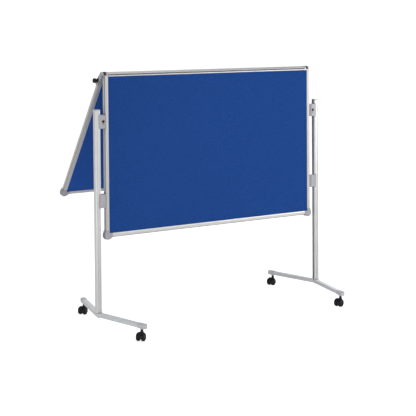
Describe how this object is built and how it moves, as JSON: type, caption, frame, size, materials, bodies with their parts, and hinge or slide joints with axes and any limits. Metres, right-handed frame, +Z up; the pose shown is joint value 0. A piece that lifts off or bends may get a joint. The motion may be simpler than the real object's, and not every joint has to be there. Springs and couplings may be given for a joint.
{
  "type": "folding mobile presentation board",
  "caption": "Mobile presentation board: framed blue textile panels hinged along the top edge, carried between aluminium uprights on splayed feet with twin-wheel castors.",
  "frame": {"origin": "on the floor, under the centre of the whole object's box", "axes": "+X along the board, +Y from the front board to the rear board, +Z up"},
  "size_m": [1.3008, 0.8114, 1.1945],
  "materials": {
    "blue_textile": "matt felt",
    "core_board": "raw softboard",
    "anodised_frame": "satin anodised",
    "anodised_upright": "satin anodised",
    "silver_tube": "satin silver paint",
    "hinge_arm_metal": "satin grey paint",
    "light_grey_plastic": "fine moulded",
    "dark_plastic_insert": "moulded",
    "black_plastic": "semi-gloss moulded",
    "zinc_steel": "bright zinc"
  },
  "bodies": {
    "stand_and_front_board": {"bracket_board_screws": "zinc_steel", "bracket_clamp_screws": "zinc_steel", "bracket_lower_left": "light_grey_plastic", "bracket_lower_right": "light_grey_plastic", "bracket_set_screws": "zinc_steel", "bracket_upper_left": "light_grey_plastic", "bracket_upper_right": "light_grey_plastic", "castor_stems": "zinc_steel", "foot_bolts": "zinc_steel", "foot_left": "silver_tube", "foot_right": "silver_tube", "front_bottom_rail": "anodised_frame", "front_core": "core_board", "front_corner_caps": "light_grey_plastic", "front_side_frame_left": "anodised_frame", "front_side_frame_right": "anodised_frame", "front_textile_front": "blue_textile", "front_textile_rear": "blue_textile", "hinge_bushes": "black_plastic", "hinge_rail": "anodised_frame", "hinge_rail_screws": "zinc_steel", "leg_end_caps": "light_grey_plastic", "upright_caps": "light_grey_plastic", "upright_inserts": "dark_plastic_insert", "upright_left": "anodised_upright", "upright_right": "anodised_upright"},
    "rear_board": {"hinge_arm_left": "hinge_arm_metal", "hinge_arm_right": "hinge_arm_metal", "hinge_arm_screws": "zinc_steel", "hinge_pins": "zinc_steel", "wing_bottom_rail": "anodised_frame", "wing_core": "core_board", "wing_corner_caps": "light_grey_plastic", "wing_rail_screws": "zinc_steel", "wing_side_frame_left": "anodised_frame", "wing_side_frame_right": "anodised_frame", "wing_textile_inner": "blue_textile", "wing_textile_outer": "blue_textile", "wing_top_rail": "anodised_frame"},
    "left_lock_knob": {"lock_knob_left": "black_plastic", "knob_stud_left": "zinc_steel"},
    "right_lock_knob": {"lock_knob_right": "black_plastic", "knob_stud_right": "zinc_steel"},
    "castor_fl": {"castor_fl_housing": "black_plastic", "castor_fl_axle": "zinc_steel"},
    "castor_fl_wheel_a": {"castor_fl_wheel_a": "black_plastic"},
    "castor_fl_wheel_b": {"castor_fl_wheel_b": "black_plastic"},
    "castor_fr": {"castor_fr_housing": "black_plastic", "castor_fr_axle": "zinc_steel"},
    "castor_fr_wheel_a": {"castor_fr_wheel_a": "black_plastic"},
    "castor_fr_wheel_b": {"castor_fr_wheel_b": "black_plastic"},
    "castor_rl": {"castor_rl_housing": "black_plastic", "castor_rl_axle": "zinc_steel"},
    "castor_rl_wheel_a": {"castor_rl_wheel_a": "black_plastic"},
    "castor_rl_wheel_b": {"castor_rl_wheel_b": "black_plastic"},
    "castor_rr": {"castor_rr_housing": "black_plastic", "castor_rr_axle": "zinc_steel"},
    "castor_rr_wheel_a": {"castor_rr_wheel_a": "black_plastic"},
    "castor_rr_wheel_b": {"castor_rr_wheel_b": "black_plastic"}
  },
  "joints": [
    {"name": "rear_board_fold", "type": "hinge", "parent": "stand_and_front_board", "child": "rear_board", "pos_m": [0, -0.06373, 1.1795], "axis": [1, 0, 0], "range_deg": [-35.7, 144.3]},
    {"name": "lock_knob_left_turn", "type": "hinge", "parent": "rear_board", "child": "left_lock_knob", "pos_m": [-0.615, -0.03087, 1.15262], "axis": [-1, 0, 0], "range_deg": [0, 330]},
    {"name": "lock_knob_right_turn", "type": "hinge", "parent": "rear_board", "child": "right_lock_knob", "pos_m": [0.615, -0.03087, 1.15262], "axis": [1, 0, 0], "range_deg": [0, 330]},
    {"name": "castor_fl_swivel", "type": "hinge", "parent": "stand_and_front_board", "child": "castor_fl", "pos_m": [-0.568, -0.37073, 0.045], "axis": [0, 0, 1], "continuous": true},
    {"name": "castor_fl_wheel_a_spin", "type": "hinge", "parent": "castor_fl", "child": "castor_fl_wheel_a", "pos_m": [-0.57008, -0.39009, 0.0193], "axis": [0.6691, -0.7431, 0], "continuous": true},
    {"name": "castor_fl_wheel_b_spin", "type": "hinge", "parent": "castor_fl", "child": "castor_fl_wheel_b", "pos_m": [-0.58747, -0.37077, 0.0193], "axis": [0.6691, -0.7431, 0], "continuous": true},
    {"name": "castor_fr_swivel", "type": "hinge", "parent": "stand_and_front_board", "child": "castor_fr", "pos_m": [0.568, -0.37073, 0.045], "axis": [0, 0, 1], "continuous": true},
    {"name": "castor_fr_wheel_a_spin", "type": "hinge", "parent": "castor_fr", "child": "castor_fr_wheel_a", "pos_m": [0.55823, -0.38757, 0.0193], "axis": [0.309, -0.9511, 0], "continuous": true},
    {"name": "castor_fr_wheel_b_spin", "type": "hinge", "parent": "castor_fr", "child": "castor_fr_wheel_b", "pos_m": [0.55019, -0.36284, 0.0193], "axis": [0.309, -0.9511, 0], "continuous": true},
    {"name": "castor_rl_swivel", "type": "hinge", "parent": "stand_and_front_board", "child": "castor_rl", "pos_m": [-0.568, 0.20827, 0.045], "axis": [0, 0, 1], "continuous": true},
    {"name": "castor_rl_wheel_a_spin", "type": "hinge", "parent": "castor_rl", "child": "castor_rl_wheel_a", "pos_m": [-0.57142, 0.1891, 0.0193], "axis": [0.6157, -0.788, 0], "continuous": true},
    {"name": "castor_rl_wheel_b_spin", "type": "hinge", "parent": "castor_rl", "child": "castor_rl_wheel_b", "pos_m": [-0.58743, 0.20959, 0.0193], "axis": [0.6157, -0.788, 0], "continuous": true},
    {"name": "castor_rr_swivel", "type": "hinge", "parent": "stand_and_front_board", "child": "castor_rr", "pos_m": [0.568, 0.20827, 0.045], "axis": [0, 0, 1], "continuous": true},
    {"name": "castor_rr_wheel_a_spin", "type": "hinge", "parent": "castor_rr", "child": "castor_rr_wheel_a", "pos_m": [0.55943, 0.19079, 0.0193], "axis": [0.3746, -0.9272, 0], "continuous": true},
    {"name": "castor_rr_wheel_b_spin", "type": "hinge", "parent": "castor_rr", "child": "castor_rr_wheel_b", "pos_m": [0.54969, 0.21489, 0.0193], "axis": [0.3746, -0.9272, 0], "continuous": true}
  ]
}
